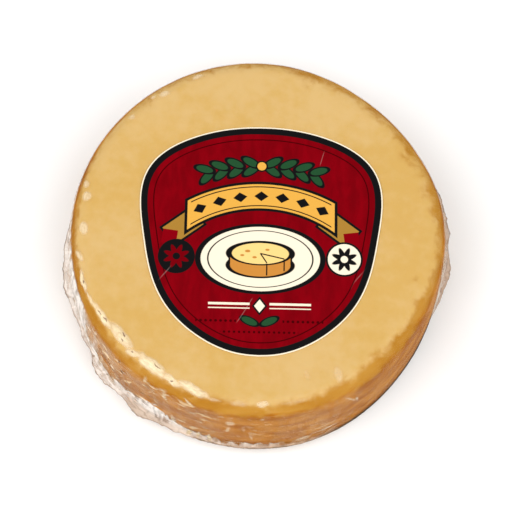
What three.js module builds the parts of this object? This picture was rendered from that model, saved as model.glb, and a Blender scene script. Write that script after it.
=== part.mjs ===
import * as THREE from "three";
import { mergeVertices } from "three/addons/utils/BufferGeometryUtils.js";

// A small round of smoked cheese, shrink-wrapped in clear film, with a printed sticker on its top.
// Millimetres, +Z up. The round stands on z = 0 with its middle on the Z axis, and the sticker reads
// upright for somebody on the -Y side. Directions round the wheel are in degrees from +X towards +Y.

// The wrapped round. The axis of its profile lies a little off its middle, as the fins are uneven.
const WHEEL_AXIS = { x: -0.37, y: 0.25 };
const WHEEL_DIAMETER = 93;
const WHEEL_HEIGHT = 30.6;
const TOP_SHOULDER = 4.6;
const BASE_SHOULDER = 3.6;
const WALL_BULGE = 0.35;
const AROUND = 150;
const SHOULDER_STEPS = 6;
const WALL_ROWS_BELOW_SEAM = 2;
const WALL_ROWS_ABOVE_SEAM = 4;

// How far the hand-formed plan is from a circle, as shares of the radius: waves of 2 to 5 to the turn
const PLAN_WAVES = [
  { count: 2, cosine: -0.01, sine: -0.0012 },
  { count: 3, cosine: 0.0053, sine: 0.0009 },
  { count: 4, cosine: 0.0039, sine: 0.0039 },
  { count: 5, cosine: 0.0034, sine: 0.0012 },
];

// The film's welded seam runs round the wall. Its height wanders, from the far side's middle of the wall
// down to the base at the near left.
const SEAM_HEIGHTS = [
  { at: 5, value: 15 },
  { at: 95, value: 13 },
  { at: 172, value: 15.5 },
  { at: 203, value: 10 },
  { at: 232, value: 6.4 },
  { at: 285, value: 6.2 },
  { at: 318, value: 10 },
];
// The seam's cross-section: height off the seam, and share of the fin's reach
const SEAM_ROW = 12;
const SEAM_SECTION = [
  [-1.6, 0],
  [-0.75, 0.35],
  [-0.3, 1],
  [0.3, 1],
  [0.75, 0.35],
  [1.6, 0],
];
// How far loose film stands out of the seam as thin fins: two lobes at the right, and a long strip with
// lobes at the left that narrows along the foot of the near side
const FIN_REACHES = [
  { at: 5, value: 1.2 },
  { at: 9, value: 2.1 },
  { at: 21, value: 2.4 },
  { at: 34, value: 0.8 },
  { at: 42, value: 0 },
  { at: 164, value: 0 },
  { at: 173, value: 1 },
  { at: 181, value: 1.75 },
  { at: 191, value: 2.1 },
  { at: 197, value: 1.2 },
  { at: 204, value: 0.8 },
  { at: 208, value: 1.2 },
  { at: 212, value: 0.8 },
  { at: 219, value: 2.4 },
  { at: 228, value: 1.3 },
  { at: 235, value: 2.5 },
  { at: 243, value: 1.2 },
  { at: 256, value: 0.8 },
  { at: 288, value: 0.7 },
  { at: 302, value: 0 },
  { at: 340, value: 0 },
  { at: 349, value: 0.9 },
  { at: 356, value: 2 },
  { at: 362, value: 0.9 },
];

// Crinkles of the film on the near left of the wall, and weaker ones elsewhere
const CRINKLE_AT = 228;
const CRINKLE_HALF_WIDTH = 62;
const CRINKLE_HEIGHT = 0.28;
const CRINKLE_HEIGHT_ELSEWHERE = 0.06;
const CRINKLE_AROUND = 19;
const CRINKLE_PITCH = 7.5;

// The sticker: a round-cornered crest, wider at the top, with an arched head and a soft point
const LABEL_CENTRE = { x: 0.75, y: -1.65 };
const LABEL_TURN = 1;
const LABEL_HALF_WIDTH = 28.7;
const LABEL_HALF_HEIGHT = 26.5;
const LABEL_SQUARENESS = 3;
const LABEL_TAPER = 0.15;
const LABEL_ARCH = 3;
const LABEL_ARCH_HALF_WIDTH = 32;
const LABEL_POINT = 4;
const LABEL_POINT_HALF_WIDTH = 25;
const LABEL_THICKNESS = 0.35;
const LABEL_CLEARANCE = 0.3;
const LABEL_OUTLINE_POINTS = 120;

const degrees = THREE.MathUtils.degToRad;

function wrappedAngle(angle) {
  return THREE.MathUtils.euclideanModulo(angle + 180, 360) - 180;
}

// 1 at the middle, falling smoothly to 0 at the half width and beyond
function bump(distance, halfWidth) {
  if (Math.abs(distance) >= halfWidth) {
    return 0;
  }
  return Math.cos((0.5 * Math.PI * distance) / halfWidth) ** 2;
}

function planShare(angle) {
  const turn = degrees(angle);
  return PLAN_WAVES.reduce(
    (share, wave) => share + wave.cosine * Math.cos(wave.count * turn) + wave.sine * Math.sin(wave.count * turn),
    1,
  );
}

// The value in a direction of something given by its values at stops round the wheel
function roundTheWheel(stops, angle) {
  const first = stops[0];
  const turned = THREE.MathUtils.euclideanModulo(angle - first.at, 360) + first.at;
  const closed = [...stops, { at: first.at + 360, value: first.value }];
  const next = closed.findIndex((stop, index) => index > 0 && turned <= stop.at);
  const before = closed[next - 1];
  const after = closed[next];
  const share = THREE.MathUtils.smoothstep(turned, before.at, after.at);
  return THREE.MathUtils.lerp(before.value, after.value, share);
}

function crinkle(angle, height) {
  const near = bump(wrappedAngle(angle - CRINKLE_AT), CRINKLE_HALF_WIDTH);
  const depth = THREE.MathUtils.lerp(CRINKLE_HEIGHT_ELSEWHERE, CRINKLE_HEIGHT, near);
  const climb = (2 * Math.PI * height) / CRINKLE_PITCH;
  return depth * Math.sin(CRINKLE_AROUND * degrees(angle) + climb) * Math.sin(0.6 * climb);
}

// The upright profile from the base's centre to the top's centre. Each point carries what the wall's
// shaping needs: whether it may ripple, and its share of a fin's reach.
function wheelProfile() {
  const radius = WHEEL_DIAMETER / 2;
  const wallFoot = BASE_SHOULDER;
  const wallHead = WHEEL_HEIGHT - TOP_SHOULDER;
  const points = [{ radius: 0, height: 0, finShare: 0, isWall: false }];
  for (let step = 0; step <= SHOULDER_STEPS; step += 1) {
    const turn = (0.5 * Math.PI * step) / SHOULDER_STEPS;
    points.push({
      radius: radius - BASE_SHOULDER * (1 - Math.sin(turn)),
      height: BASE_SHOULDER * (1 - Math.cos(turn)),
      finShare: 0,
      isWall: false,
    });
  }
  const seamFoot = SEAM_ROW + SEAM_SECTION[0][0];
  const seamHead = SEAM_ROW + SEAM_SECTION[SEAM_SECTION.length - 1][0];
  for (let row = 1; row <= WALL_ROWS_BELOW_SEAM; row += 1) {
    const height = THREE.MathUtils.lerp(wallFoot, seamFoot, row / (WALL_ROWS_BELOW_SEAM + 1));
    points.push({ radius, height, finShare: 0, isWall: true });
  }
  SEAM_SECTION.forEach(([offset, share]) => {
    points.push({ radius, height: SEAM_ROW + offset, finShare: share, isWall: true });
  });
  for (let row = 1; row <= WALL_ROWS_ABOVE_SEAM; row += 1) {
    const height = THREE.MathUtils.lerp(seamHead, wallHead, row / (WALL_ROWS_ABOVE_SEAM + 1));
    points.push({ radius, height, finShare: 0, isWall: true });
  }
  for (let step = 0; step <= SHOULDER_STEPS; step += 1) {
    const turn = (0.5 * Math.PI * step) / SHOULDER_STEPS;
    points.push({
      radius: radius - TOP_SHOULDER * (1 - Math.cos(turn)),
      height: wallHead + TOP_SHOULDER * Math.sin(turn),
      finShare: 0,
      isWall: false,
    });
  }
  points.push({ radius: 0, height: WHEEL_HEIGHT, finShare: 0, isWall: false });
  return points;
}

// Slides a wall row from its place about the straight seam row to its place about the wandering seam
function rowHeight(height, angle) {
  const wallFoot = BASE_SHOULDER;
  const wallHead = WHEEL_HEIGHT - TOP_SHOULDER;
  const seam = roundTheWheel(SEAM_HEIGHTS, angle);
  const foot = SEAM_ROW + SEAM_SECTION[0][0];
  const head = SEAM_ROW + SEAM_SECTION[SEAM_SECTION.length - 1][0];
  if (height < foot) {
    return THREE.MathUtils.mapLinear(height, wallFoot, foot, wallFoot, seam + foot - SEAM_ROW);
  }
  if (height > head) {
    return THREE.MathUtils.mapLinear(height, head, wallHead, seam + head - SEAM_ROW, wallHead);
  }
  return seam + height - SEAM_ROW;
}

function wrappedRound() {
  const profile = wheelProfile();
  const outline = profile.map((point) => new THREE.Vector2(point.radius, point.height));
  const geometry = new THREE.LatheGeometry(outline, AROUND);
  const position = geometry.getAttribute("position");
  const radius = WHEEL_DIAMETER / 2;
  const wallFoot = BASE_SHOULDER;
  const wallHead = WHEEL_HEIGHT - TOP_SHOULDER;
  for (let column = 0; column <= AROUND; column += 1) {
    const angle = (360 * (column % AROUND)) / AROUND;
    const turn = degrees(angle);
    profile.forEach((point, row) => {
      let height = point.height;
      let distance = point.radius + radius * (planShare(angle) - 1) * (point.radius / radius);
      if (point.isWall) {
        height = rowHeight(point.height, angle);
        const up = (height - wallFoot) / (wallHead - wallFoot);
        const swell = Math.sin(Math.PI * up);
        distance += (WALL_BULGE + crinkle(angle, height)) * swell;
        distance += roundTheWheel(FIN_REACHES, angle) * point.finShare;
      }
      const index = column * profile.length + row;
      position.setXYZ(index, distance * Math.cos(turn), distance * Math.sin(turn), height);
    });
  }
  geometry.deleteAttribute("normal");
  geometry.deleteAttribute("uv");
  const merged = mergeVertices(geometry);
  merged.computeVertexNormals();
  return merged;
}

function labelOutline() {
  const power = 2 / LABEL_SQUARENESS;
  return Array.from({ length: LABEL_OUTLINE_POINTS }, (_, index) => {
    const turn = (2 * Math.PI * index) / LABEL_OUTLINE_POINTS;
    const across = Math.sign(Math.cos(turn)) * Math.abs(Math.cos(turn)) ** power;
    const up = Math.sign(Math.sin(turn)) * Math.abs(Math.sin(turn)) ** power;
    const x = LABEL_HALF_WIDTH * across * (1 + LABEL_TAPER * up);
    const arch = LABEL_ARCH * bump(x, LABEL_ARCH_HALF_WIDTH) * Math.max(up, 0);
    const point = LABEL_POINT * bump(x, LABEL_POINT_HALF_WIDTH) * Math.max(-up, 0);
    return new THREE.Vector2(x, LABEL_HALF_HEIGHT * up + arch - point);
  });
}

function sticker() {
  const shape = new THREE.Shape(labelOutline());
  return new THREE.ExtrudeGeometry(shape, { depth: LABEL_THICKNESS, bevelEnabled: false });
}

const filmMaterial = new THREE.MeshStandardMaterial({ color: "#dcb273", roughness: 0.3, metalness: 0 });
const printMaterial = new THREE.MeshStandardMaterial({ color: "#8f0a18", roughness: 0.4, metalness: 0 });

const wheel = new THREE.Mesh(wrappedRound(), filmMaterial);
wheel.name = "wrapped_round";
wheel.position.set(WHEEL_AXIS.x, WHEEL_AXIS.y, 0);

const label = new THREE.Mesh(sticker(), printMaterial);
label.name = "label";
label.position.set(LABEL_CENTRE.x, LABEL_CENTRE.y, WHEEL_HEIGHT + LABEL_CLEARANCE);
label.rotation.z = degrees(LABEL_TURN);

const smokedGouda = new THREE.Group();
smokedGouda.add(wheel, label);

export default smokedGouda;
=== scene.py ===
"""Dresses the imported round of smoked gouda: the cheese, the clear film shrunk over it, and its sticker.

Metres, +Z up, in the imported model's own frame. The round stands on z = 0, and the sticker reads upright
for somebody on the -Y side. Directions round the wheel are in degrees from +X towards +Y.
"""

import math
from functools import partialmethod

import bpy
import numpy as np
from bpy.props import FloatProperty, FloatVectorProperty, IntProperty, PointerProperty
from mathutils import Matrix, Vector, noise


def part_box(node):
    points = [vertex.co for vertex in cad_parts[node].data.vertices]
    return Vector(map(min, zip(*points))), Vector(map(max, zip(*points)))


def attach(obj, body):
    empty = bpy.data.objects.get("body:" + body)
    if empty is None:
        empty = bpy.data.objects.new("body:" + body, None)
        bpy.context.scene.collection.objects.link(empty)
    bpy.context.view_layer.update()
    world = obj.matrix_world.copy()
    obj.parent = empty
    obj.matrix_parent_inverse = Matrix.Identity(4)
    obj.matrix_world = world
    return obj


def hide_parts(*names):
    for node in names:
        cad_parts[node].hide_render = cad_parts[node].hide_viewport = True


bl_info = {
    "name": "Smoked Gouda Round",
    "version": (1, 0, 0),
    "blender": (4, 5, 0),
    "location": "View3D > Sidebar > Gouda",
    "description": "Makes a film-wrapped round of smoked cheese with a sticker, and its studio",
    "category": "Add Mesh",
}

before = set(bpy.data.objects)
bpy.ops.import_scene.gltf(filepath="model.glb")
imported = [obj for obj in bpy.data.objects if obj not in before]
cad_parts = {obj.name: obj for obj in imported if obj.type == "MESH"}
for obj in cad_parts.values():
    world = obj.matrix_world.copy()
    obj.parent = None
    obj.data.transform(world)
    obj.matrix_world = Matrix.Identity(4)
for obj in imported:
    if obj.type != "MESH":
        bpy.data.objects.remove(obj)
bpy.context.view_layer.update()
ROUND_LOW, ROUND_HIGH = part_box("wrapped_round")

MM = 0.001
BODY = "root"
PICTURE = 512

# The axis of the wheel's profile lies a little off the object's middle, as the loose film is uneven
WHEEL_AXIS = (-0.37 * MM, 0.25 * MM)

# How far the hand-formed plan is from a circle: waves to the turn, cosine share, sine share
PLAN_WAVES = ((2, -0.01, -0.0012), (3, 0.0053, 0.0009), (4, 0.0039, 0.0039), (5, 0.0034, 0.0012))

# Round the wheel: direction in degrees, and height in millimetres of the film's welded seam
SEAM_HEIGHTS = ((5, 15), (95, 13), (172, 15.5), (203, 10), (232, 6.4), (285, 6.2), (318, 10))
# Direction, and how far loose film stands out of the seam in millimetres
FIN_REACHES = (
    (5, 1.2), (9, 2.1), (21, 2.4), (34, 0.8), (42, 0), (164, 0), (173, 1), (181, 1.75), (191, 2.1),
    (197, 1.2), (204, 0.8), (208, 1.2), (212, 0.8), (219, 2.4), (228, 1.3), (235, 2.5), (243, 1.2),
    (256, 0.8), (288, 0.7), (302, 0), (340, 0), (349, 0.9), (356, 2),
)  # fmt: skip
# Direction, and how far the amber smoke reaches over the top in millimetres
AMBER_SPREADS = (
    (0, 0.9), (20, 1.5), (45, 1.5), (90, 1.6), (110, 1.4), (140, 0.8), (165, 0.4), (200, 0.4),
    (230, 0.8), (265, 1.2), (300, 1.1), (320, 1.0), (335, 0.9), (350, 0.8),
)  # fmt: skip
# Direction, and how strong the smoke is along the top edge
AMBER_STRENGTHS = (
    (20, 0.75), (60, 0.75), (105, 0.65), (125, 0.4), (150, 0.35), (172, 0.65), (200, 0.9), (225, 1.0),
    (325, 1.0), (350, 0.8),
)  # fmt: skip
# Direction, and how dark the painted shade along the foot is
FOOT_SHADES = (
    (0, 0.7), (25, 0.1), (150, 0.1), (205, 0.15), (238, 0.4), (265, 0.7), (290, 0.75), (308, 1.0),
    (342, 1.0),
)  # fmt: skip
# Direction, and the height in millimetres up to which the film hangs loose and milky on the wall
VEIL_HEIGHTS = (
    (20, 10), (60, 6), (150, 8), (165, 15), (205, 14), (213, 13), (222, 10), (232, 13), (240, 16),
    (248, 11), (256, 9), (264, 7.5), (278, 8.5), (287, 8), (294, 10), (300, 5), (310, 3), (345, 3),
)  # fmt: skip
# Direction, and how milky the film is below that height
VEIL_STRENGTHS = (
    (20, 0.5), (45, 0.1), (150, 0.15), (165, 0.35), (200, 0.45), (212, 0.85), (222, 0.6), (235, 0.85),
    (245, 0.85), (255, 0.75), (262, 0.7), (274, 0.75), (286, 0.3), (296, 0.2), (302, 0.05), (306, 0),
    (345, 0), (352, 0.25),
)  # fmt: skip
# Direction, and how milky the film is above that height
MIST_STRENGTHS = (
    (0, 0.1), (20, 0.15), (60, 0.05), (150, 0.1), (165, 0.3), (178, 0.4), (190, 0.6), (203, 0.7),
    (215, 0.28), (230, 0.14), (240, 0.12), (252, 0.1), (270, 0.05), (290, 0.12), (305, 0.06), (318, 0.05),
    (335, 0.03), (348, 0.05),
)  # fmt: skip
# Direction, and how much painted shade browns the film: the loose fins, where it also lies in several
# layers, and the film low on the wall
SHADED_FILM = (
    (0, 0.6), (20, 0.45), (45, 0.2), (170, 0.0), (222, 0.0), (234, 0.6), (262, 0.45), (285, 0.85),
    (310, 0.85), (330, 0.8), (345, 0.95),
)  # fmt: skip
# Direction, and how much the film is crinkled on the wall
CRINKLES = (
    (0, 0.4), (30, 0.2), (60, 0.05), (140, 0.05), (170, 0.5), (200, 0.75), (215, 0.7), (235, 1.0),
    (252, 0.85), (266, 0.4), (280, 0.25), (300, 0.2), (318, 0.08), (340, 0.15),
)  # fmt: skip

# The seam's place on the wall before it takes its real height, and half of the band that moves with it
SEAM_ROW = 12 * MM
SEAM_HALF_BAND = 1.6 * MM
# Broad crinkles round the wheel, and the height in which one climbs through its whole wave
CRINKLES_ROUND = 19
CRINKLE_RISE = 7.5 * MM
# The painted shade along the foot fades out between these heights towards the base
FOOT_LINE_LOW = 0.4 * MM
FOOT_LINE_HIGH = 2.6 * MM
# How far over the edge the top comes down to its unevenness
TOP_EDGE = 4 * MM
# A point belongs to the wall when it is this far inside the wall's ends
HAIR = 0.01 * MM

# Softboxes: azimuth and elevation in degrees, then distance, width and height in metres
KEY_LEFT = (215, 57, 1.5, 1.2, 1.0)
FILL_RIGHT = (322, 58, 1.6, 1.4, 1.2)
FLOOR_SIZE = 12
SENSOR_WIDTH = 36.0
# The fin's cross-section: height off the seam in millimetres, and share of the fin's reach
FIN_SECTION = (
    (0.05, 1.0), (0.08, 0.84), (0.13, 0.62), (0.2, 0.4), (0.32, 0.2), (0.5, 0.08), (0.8, 0.02),
    (1.15, 0.0), (1.6, 0.0),
)  # fmt: skip

# Tucks and folds of the film: direction in degrees, then in millimetres the way up over the top edge,
# half length and half width, then the lean in degrees and how milky it is
# The tucks' milky whiteness is partly the loose film's own and partly painted highlight
TUCKS = (
    (165.5, 1.2, 1.3, 0.8, 40, 0.6), (169.8, 2.2, 1.4, 1.2, 0, 0.7), (181.2, 2.7, 1.9, 1.1, 8, 0.75),
    (190.6, 1.4, 1.9, 0.7, 25, 0.7), (199.2, 1.1, 3.2, 0.65, 0, 0.9), (206.5, 1.4, 3.2, 0.35, 6, 0.75),
    (213.2, 2.2, 4.6, 0.8, 4, 0.9), (222.0, 3.1, 4.8, 1.35, 0, 0.8), (229.0, 2.3, 2.2, 0.8, 20, 0.75),
    (236.3, 2.9, 5.0, 1.5, -4, 0.9), (244.2, 2.3, 3.0, 0.9, -8, 0.85), (251.6, 2.4, 4.4, 1.15, -6, 0.85),
    (258.6, 1.6, 2.0, 0.4, 0, 0.4), (266.6, 1.7, 2.3, 0.7, 0, 0.3), (273.9, 1.9, 1.6, 0.75, 10, 0.65),
    (284.0, 1.5, 3.2, 0.5, 0, 0.2), (290.0, 7.0, 0.8, 1.3, 0, 0.2), (299.9, 4.0, 1.2, 1.9, -15, 0.35),
    (111.5, 2.0, 1.6, 0.7, 10, 0.55), (124.0, 2.6, 1.5, 0.9, -8, 0.6), (127.6, 1.5, 0.8, 0.6, 0, 0.45),
    (137.5, 2.2, 0.9, 0.8, 0, 0.5), (236.6, -1.4, 0.5, 1.1, 0, 0.35), (242.6, -1.3, 1.6, 0.35, 12, 0.4),
    (243.8, -3.0, 0.7, 1.8, 12, 0.45), (251.4, -1.2, 1.4, 0.35, -28, 0.5),
    (253.2, -5.8, 1.1, 0.6, 20, 0.5), (264.4, -6.4, 1.3, 1.5, -20, 0.4),
    (263.9, -10.6, 0.5, 2.6, -6, 0.35), (268.4, -10.0, 0.35, 1.6, 10, 0.3),
    (270.6, -14.8, 0.45, 3.4, 6, 0.3), (246.8, -16.4, 0.8, 2.0, 15, 0.5),
    (273.8, -2.7, 0.7, 0.5, 0, 0.35), (301.0, -5.4, 0.35, 4.4, 27, 0.35),
    (303.4, -8.0, 0.3, 1.7, 12, 0.55), (292.4, -15.9, 4.2, 0.45, 6, 0.4),
    (293.4, -19.0, 4.0, 0.55, 4, 0.45), (294.6, -22.3, 3.2, 0.45, 28, 0.35),
    (286.2, -21.6, 2.4, 2.0, 40, 0.45), (254.8, -20.6, 0.45, 2.6, -8, 0.75),
    (258.2, -20.8, 0.4, 2.6, 2, 0.8), (252.0, -21.6, 0.5, 2.8, -14, 0.6),
)  # fmt: skip

# Short slits of painted shade in the tucks and creases: direction in degrees, millimetres up over the top
# edge, half length in millimetres and lean in degrees
SLITS = (
    (199.6, 1.05, 0.5, 0), (211.4, 2.1, 0.9, 4), (214.4, 2.45, 1.0, 10), (222.4, 3.75, 0.8, 0),
    (223.4, 2.6, 0.5, 0), (228.6, 2.3, 0.4, 25), (238.0, 3.35, 1.2, -8), (244.4, 2.2, 0.4, 0),
    (236.6, -17.0, 0.9, -30), (238.0, -18.4, 0.8, -30), (226.8, -2.4, 0.5, -60), (228.0, -7.2, 0.9, -70),
    (252.4, -6.3, 0.7, -30), (247.0, -13.3, 0.9, -20), (256.8, -18.0, 1.2, -12), (253.0, -17.0, 0.9, -18),
    (300.0, -17.5, 0.9, -40),
)  # fmt: skip

# Amber smoke stains on the top: place from the centre and half width in millimetres, strength
SMOKE_STAINS = (
    (36.3, 21.4, 1.7, 0.35), (41.3, 12.7, 1.6, 0.45), (42.6, 6.7, 1.1, 0.4), (38.6, -10.6, 1.0, 0.35),
    (39.4, -17.0, 1.0, 0.42), (34.9, -27.2, 1.3, 0.6), (38.2, -24.0, 1.3, 0.65), (28.9, -31.0, 1.3, 0.5),
    (29.6, -34.4, 1.7, 0.65), (40.0, -5.0, 0.9, 0.25), (-28.0, 33.0, 1.6, 0.25), (12.0, 41.0, 2.0, 0.25),
)  # fmt: skip


def srgb(red, green, blue):
    """A colour as seen on a screen, from 0 to 255, as the linear one that materials take."""
    shares = [level / 255 for level in (red, green, blue)]
    return tuple(s / 12.92 if s <= 0.04045 else ((s + 0.055) / 1.055) ** 2.4 for s in shares)


def number_property(name, description, default, unit="NONE"):
    return FloatProperty(name=name, description=description, default=default, unit=unit)


def length_property(name, description, default):
    return number_property(name, description, default, "LENGTH")


def angle_property(name, description, degrees):
    return number_property(name, description, math.radians(degrees), "ROTATION")


def count_property(name, description, default):
    return IntProperty(name=name, description=description, default=default, min=24)


def colour_property(name, description, default):
    return FloatVectorProperty(name=name, description=description, default=default, subtype="COLOR")


class RoundSettings(bpy.types.PropertyGroup):
    """Sizes of the cheese and of the film drawn over it."""

    radius: length_property("Radius", "Half the wheel's diameter over its film", 46.5 * MM)
    height: length_property("Height", "Height over the film", ROUND_HIGH.z - ROUND_LOW.z)
    top_shoulder: length_property("Top shoulder", "Radius of the rounded top edge", 4.6 * MM)
    base_shoulder: length_property("Base shoulder", "Radius of the rounded bottom edge", 3.6 * MM)
    bulge: length_property("Bulge", "How far the wall swells at its middle", 0.35 * MM)
    clearance: length_property("Clearance", "Gap between the cheese and the film", 0.12 * MM)
    swell: length_property("Swell", "Unevenness of the flat top", 0.1 * MM)
    slump: length_property("Slump", "Unevenness of the top edge", 0.25 * MM)
    columns: count_property("Columns", "Faces of the film round the wheel", 720)


class FilmSettings(bpy.types.PropertyGroup):
    """How loose and crinkled the film is."""

    crinkle_at: number_property("Crinkled side", "Direction, in degrees", 228)
    crinkle_half_width: number_property("Crinkled half width", "In degrees", 62)
    crinkle: length_property("Crinkle", "Height of the broad crinkles", 0.28 * MM)
    crinkle_elsewhere: length_property("Crinkle elsewhere", "Height of the weak ones", 0.06 * MM)
    crease: length_property("Crease", "Height of the thin creases", 0.26 * MM)
    tuck: length_property("Tuck", "Height of the tucks and folds", 0.2 * MM)
    ruffle: length_property("Ruffle", "How far the loose fins wave up and down", 0.4 * MM)


class StickerSettings(bpy.types.PropertyGroup):
    """Sizes of the sticker."""

    centre: FloatVectorProperty(
        name="Centre",
        description="Place on the top",
        default=(0.75 * MM, -1.65 * MM),
        size=2,
        unit="LENGTH",
    )
    turn: angle_property("Turn", "Turn on the top", 1)
    half_width: length_property("Half width", "Before the taper", 28.7 * MM)
    half_height: length_property("Half height", "Before the arch and the point", 26.5 * MM)
    squareness: number_property("Squareness", "2 is an oval", 3)
    taper: number_property("Taper", "How much wider the top is", 0.15)
    arch: length_property("Arch", "Rise of the head", 3 * MM)
    arch_half_width: length_property("Arch half width", "Reach of the arch", 32 * MM)
    point: length_property("Point", "Drop of the foot", 4 * MM)
    point_half_width: length_property("Point half width", "Reach of the point", 25 * MM)
    thickness: length_property("Thickness", "Thickness of the paper", 0.14 * MM)
    edge: length_property("Cut edge", "Width of the bare edge", 0.3 * MM)
    border: length_property("Border", "Width of the black border", 1.6 * MM)
    points: count_property("Points", "Corners of the outline", 240)


class ColourSettings(bpy.types.PropertyGroup):
    """Colours of the cheese, the film and the print."""

    top_pale: colour_property("Top, pale", "Palest cream of the top", srgb(213, 179, 119))
    top_deep: colour_property("Top, deep", "Deepest cream of the top", srgb(207, 168, 96))
    amber: colour_property("Amber", "Smoke along the top edge", srgb(187, 136, 56))
    amber_deep: colour_property("Amber, deep", "Darkest smoke", srgb(174, 119, 38))
    wall: colour_property("Wall", "Tan of the wall", srgb(182, 119, 36))
    wall_deep: colour_property("Wall, deep", "Darker tan of the wall", srgb(152, 87, 14))
    # Painted shade along the foot, on the cheese and on the film
    foot: colour_property("Foot", "Dark line along the foot", srgb(44, 24, 10))
    misty: colour_property("Misty film", "Film that barely clings", srgb(236, 203, 154))
    milky: colour_property("Milky film", "Loose film over the cheese", srgb(242, 233, 224))
    # Partly the loose film's own colour, partly painted highlight
    tucked: colour_property("Tucked film", "Tucks over the top edge", srgb(250, 228, 184))
    film_shade: colour_property("Film, creased", "Creased parts of the loose fins", srgb(206, 184, 164))
    # Painted shade that browns the loose fins and the film low on the wall
    film_shaded: colour_property("Film, layered", "Loose film in several layers", srgb(190, 156, 122))
    # Welded edge, partly the weld itself and partly painted shade, and painted shade in the creases
    film_edge: colour_property("Film edge", "Welded edge and dark creases", srgb(150, 120, 92))
    print_red: colour_property("Print red", "Field of the sticker", srgb(129, 0, 12))
    print_black: colour_property("Print black", "Border and outlines", srgb(18, 18, 19))
    print_cream: colour_property("Print cream", "Bare paper", srgb(240, 228, 204))
    print_gold: colour_property("Print gold", "Ribbon", srgb(222, 166, 70))
    print_green: colour_property("Print green", "Leaves", srgb(34, 74, 44))


class StudioSettings(bpy.types.PropertyGroup):
    """Camera and lights."""

    elevation: angle_property("Elevation", "Camera", 68.7)
    roll: angle_property("Roll", "Camera", 2.1)
    distance: length_property("Distance", "Camera to the wheel's middle", 0.584)
    pixels_per_metre: number_property("Scale", "Pixels to the metre at the middle", 4000)
    middle_column: number_property("Middle column", "Picture column of the middle", 257)
    middle_row: number_property("Middle row", "Picture row of the middle", 254.4)
    key_power: number_property("Key", "Left softbox", 12.5, "POWER")
    fill_power: number_property("Fill", "Right softbox", 14, "POWER")
    sky_low: number_property("Low surround", "Strength at the horizon", 1.0)
    sky_high: number_property("High surround", "Strength overhead", 0.35)


# --- numbers -------------------------------------------------------------------------------------------


def bump(distance, half_width):
    """1 at the middle, falling smoothly to 0 at the half width and beyond."""
    share = np.clip(np.abs(distance) / half_width, 0, 1)
    return np.cos(0.5 * np.pi * share) ** 2


def smooth(value, low, high):
    """0 below low, 1 above high and a smooth ramp between."""
    share = np.clip((value - low) / (high - low), 0, 1)
    return share * share * (3 - 2 * share)


def wrapped(angle):
    """A difference of directions, from -180 to 180."""
    return (angle + 180) % 360 - 180


def noise_at(points, scale, seed):
    """Smooth noise, about -1 to 1, at each point. scale is in waves to the metre along X, Y and Z."""
    placed = points * np.array(scale) + seed
    return np.array([noise.noise(Vector(point)) for point in placed]) * 1.6


def noise_round(angle, waves, seed):
    """Smooth noise, about -1 to 1, round the wheel, the same at all heights."""
    kept, places = np.unique(np.round(angle, 3), return_inverse=True)
    turn = np.radians(kept)
    ring = np.column_stack([np.cos(turn), np.sin(turn), np.zeros_like(turn)])
    return noise_at(ring, (waves, waves, 0), seed)[places]


def round_the_wheel(stops, angle):
    """The value in a direction of something given by its values at stops round the wheel."""
    first = stops[0]
    closed = (*stops, (first[0] + 360, first[1]))
    turned = (angle - first[0]) % 360 + first[0]
    value = np.full_like(turned, float(first[1]))
    for (start, low), (end, high) in zip(closed, closed[1:], strict=False):
        value = np.where(turned > start, low + (high - low) * smooth(turned, start, end), value)
    return value


def plan_share(angle):
    """How far out the plan lies in a direction, as a share of the radius."""
    turn = np.radians(angle)
    return 1 + sum(c * np.cos(n * turn) + s * np.sin(n * turn) for n, c, s in PLAN_WAVES)


def row_height(height, angle, foot, head):
    """Slides a wall row from its place about the straight seam row to its place about the real seam."""
    seam = round_the_wheel(SEAM_HEIGHTS, angle) * MM
    low, high = SEAM_ROW - SEAM_HALF_BAND, SEAM_ROW + SEAM_HALF_BAND
    below = foot + (height - foot) * (seam - SEAM_HALF_BAND - foot) / (low - foot)
    above = head - (head - height) * (head - seam - SEAM_HALF_BAND) / (head - high)
    return np.where(height < low, below, np.where(height > high, above, seam + height - SEAM_ROW))


# --- meshes --------------------------------------------------------------------------------------------


def deselect_all():
    for obj in bpy.context.selected_objects:
        obj.select_set(False)


def coordinates(obj):
    flat = np.zeros(len(obj.data.vertices) * 3)
    obj.data.vertices.foreach_get("co", flat)
    return flat.reshape(-1, 3)


def set_coordinates(obj, points):
    obj.data.vertices.foreach_set("co", points.ravel())
    obj.data.update()


def set_attribute(obj, name, values):
    """Keeps one number for each vertex, for the material to read."""
    kept = obj.data.attributes.new(name, "FLOAT", "POINT")
    kept.data.foreach_set("value", np.asarray(values, dtype=np.float32))


def set_vector_attribute(obj, name, vectors):
    """Keeps one vector for each vertex, for the material to read."""
    kept = obj.data.attributes.new(name, "FLOAT_VECTOR", "POINT")
    kept.data.foreach_set("vector", np.asarray(vectors, dtype=np.float32).ravel())


def spin_profile(name, profile, columns):
    """A round body: the profile is drawn point by point from a vertex and spun about the Z axis."""
    deselect_all()
    start = Vector((profile[0][0], 0, profile[0][1]))
    bpy.ops.mesh.primitive_plane_add(size=2 * MM, location=start)
    obj = bpy.context.object
    obj.name = obj.data.name = name
    bpy.ops.object.transform_apply(location=True, rotation=True, scale=True)
    bpy.ops.object.mode_set(mode="EDIT")
    bpy.ops.mesh.select_all(action="SELECT")
    bpy.ops.mesh.merge(type="CENTER")
    for (distance, height), (next_distance, next_height) in zip(profile, profile[1:], strict=False):
        step = (next_distance - distance, 0, next_height - height)
        bpy.ops.mesh.extrude_vertices_move(TRANSFORM_OT_translate={"value": step})
    bpy.ops.mesh.select_all(action="SELECT")
    bpy.ops.mesh.spin(steps=columns, angle=2 * math.pi, center=(0, 0, 0), axis=(0, 0, 1))
    bpy.ops.mesh.select_all(action="SELECT")
    bpy.ops.mesh.remove_doubles(threshold=0.001 * MM)
    bpy.ops.mesh.normals_make_consistent(inside=False)
    bpy.ops.object.mode_set(mode="OBJECT")
    bpy.ops.object.shade_smooth()
    return obj


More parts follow.
